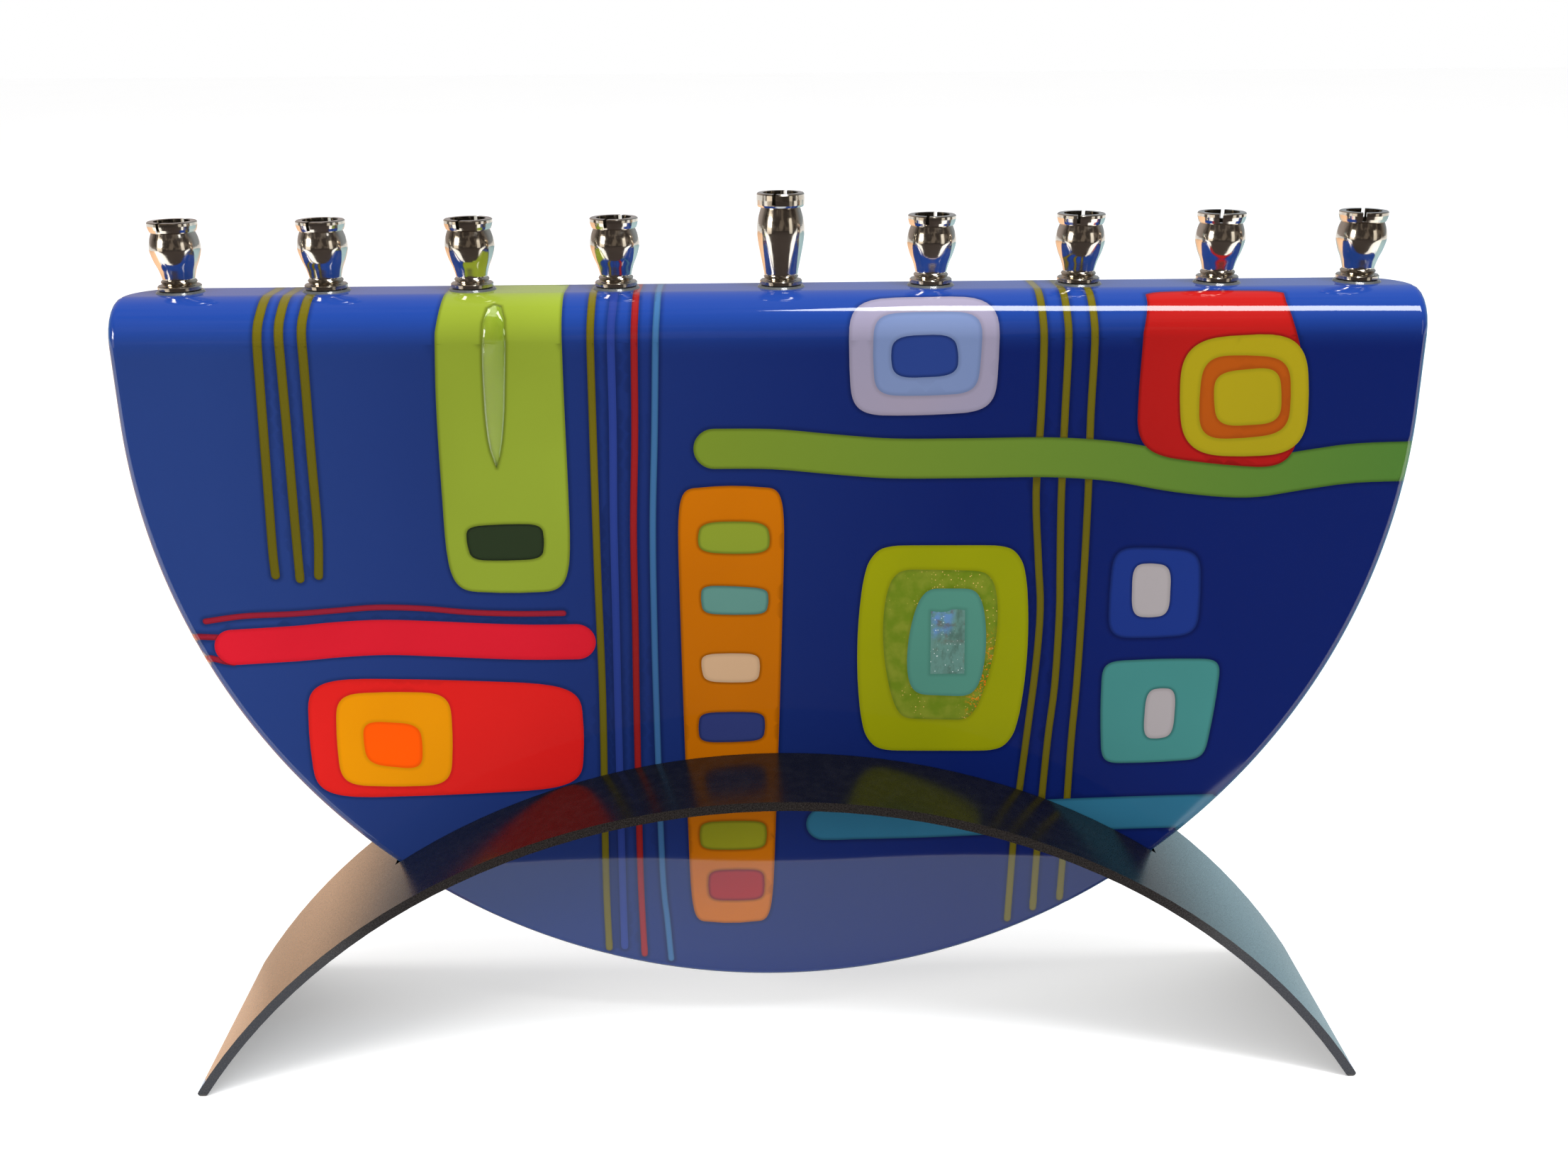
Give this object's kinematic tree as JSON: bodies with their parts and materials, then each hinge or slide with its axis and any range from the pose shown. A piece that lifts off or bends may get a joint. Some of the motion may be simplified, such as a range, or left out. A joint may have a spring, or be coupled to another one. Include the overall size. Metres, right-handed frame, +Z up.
{
  "type": "menorah",
  "caption": "Fused-glass menorah: a half-disc glass panel with a bent-back shelf of candle cups, standing in the slot of an arched steel strip.",
  "frame": {"origin": "middle of the footprint on the table top, under the middle of the slot", "axes": "+X to the right along the panel, +Y to the back, +Z up; the decorated face looks along -Y"},
  "size_m": [0.391, 0.076, 0.2764],
  "materials": {
    "blue_glass": "opaque fused glass, fire polished",
    "olive_glass": "opaque fused glass, fire polished",
    "lime_glass": "opaque fused glass, fire polished",
    "dark_green_glass": "opaque fused glass, fire polished",
    "clear_glass": "clear, fire polished",
    "periwinkle_glass": "opaque fused glass, fire polished",
    "red_glass": "opaque fused glass, fire polished",
    "sky_glass": "opaque fused glass, fire polished",
    "crimson_glass": "opaque fused glass, fire polished",
    "scarlet_glass": "opaque fused glass, fire polished",
    "amber_glass": "opaque fused glass, fire polished",
    "orange_glass": "opaque fused glass, fire polished",
    "marigold_glass": "opaque fused glass, fire polished",
    "leaf_glass": "opaque fused glass, fire polished",
    "teal_glass": "opaque fused glass, fire polished",
    "cream_glass": "opaque fused glass, fire polished",
    "mid_blue_glass": "opaque fused glass, fire polished",
    "lavender_glass": "opaque fused glass, fire polished",
    "pale_blue_glass": "opaque fused glass, fire polished",
    "yellow_glass": "opaque fused glass, fire polished",
    "chartreuse_glass": "opaque fused glass, fire polished",
    "gold_green_glass": "opaque fused glass, fire polished",
    "silver_glass": "opaque fused glass, fire polished",
    "white_glass": "opaque fused glass, fire polished",
    "black_paint": "black powder coat, semi-gloss",
    "chrome_metal": "polished nickel or chrome plate",
    "clear_adhesive": "clear cured adhesive"
  },
  "bodies": {
    "stand": {"arch_stand": "black_paint"},
    "panel": {"glass_base": "blue_glass", "olive_stringer_a": "olive_glass", "olive_stringer_b": "olive_glass", "olive_stringer_c": "olive_glass", "lime_panel": "lime_glass", "dark_green_tile": "dark_green_glass", "clear_icicle": "clear_glass", "olive_stringer_d": "olive_glass", "periwinkle_stringer": "periwinkle_glass", "red_stringer": "red_glass", "sky_stringer": "sky_glass", "red_thread": "red_glass", "crimson_bar": "crimson_glass", "red_stub_upper": "red_glass", "red_stub_lower": "red_glass", "scarlet_panel": "scarlet_glass", "amber_square": "amber_glass", "orange_square": "orange_glass", "marigold_strip": "marigold_glass", "tile_green": "leaf_glass", "tile_teal": "teal_glass", "tile_cream": "cream_glass", "tile_blue": "mid_blue_glass", "tile_shaded": "dark_green_glass", "tile_lime": "lime_glass", "tile_red": "crimson_glass", "leaf_wave": "leaf_glass", "lavender_block": "lavender_glass", "pale_blue_ring": "pale_blue_glass", "mid_blue_centre": "mid_blue_glass", "olive_stringer_e": "olive_glass", "olive_stringer_f": "olive_glass", "olive_stringer_g": "olive_glass", "red_block": "red_glass", "yellow_square": "yellow_glass", "orange_ring": "orange_glass", "yellow_centre": "yellow_glass", "chartreuse_block": "chartreuse_glass", "gold_green_ring": "gold_green_glass", "teal_centre": "teal_glass", "silver_chip": "silver_glass", "blue_block": "mid_blue_glass", "white_chip_upper": "white_glass", "teal_block": "teal_glass", "white_chip_lower": "white_glass", "teal_bar": "teal_glass", "candle_cup_1": "chrome_metal", "candle_cup_2": "chrome_metal", "candle_cup_3": "chrome_metal", "candle_cup_4": "chrome_metal", "shamash_cup": "chrome_metal", "candle_cup_5": "chrome_metal", "candle_cup_6": "chrome_metal", "candle_cup_7": "chrome_metal", "candle_cup_8": "chrome_metal", "adhesive_pads": "clear_adhesive"}
  },
  "joints": [
    {"name": "panel_lift", "type": "slide", "parent": "stand", "child": "panel", "axis": [0, 0, 1], "range_m": [0, 0.12]}
  ]
}
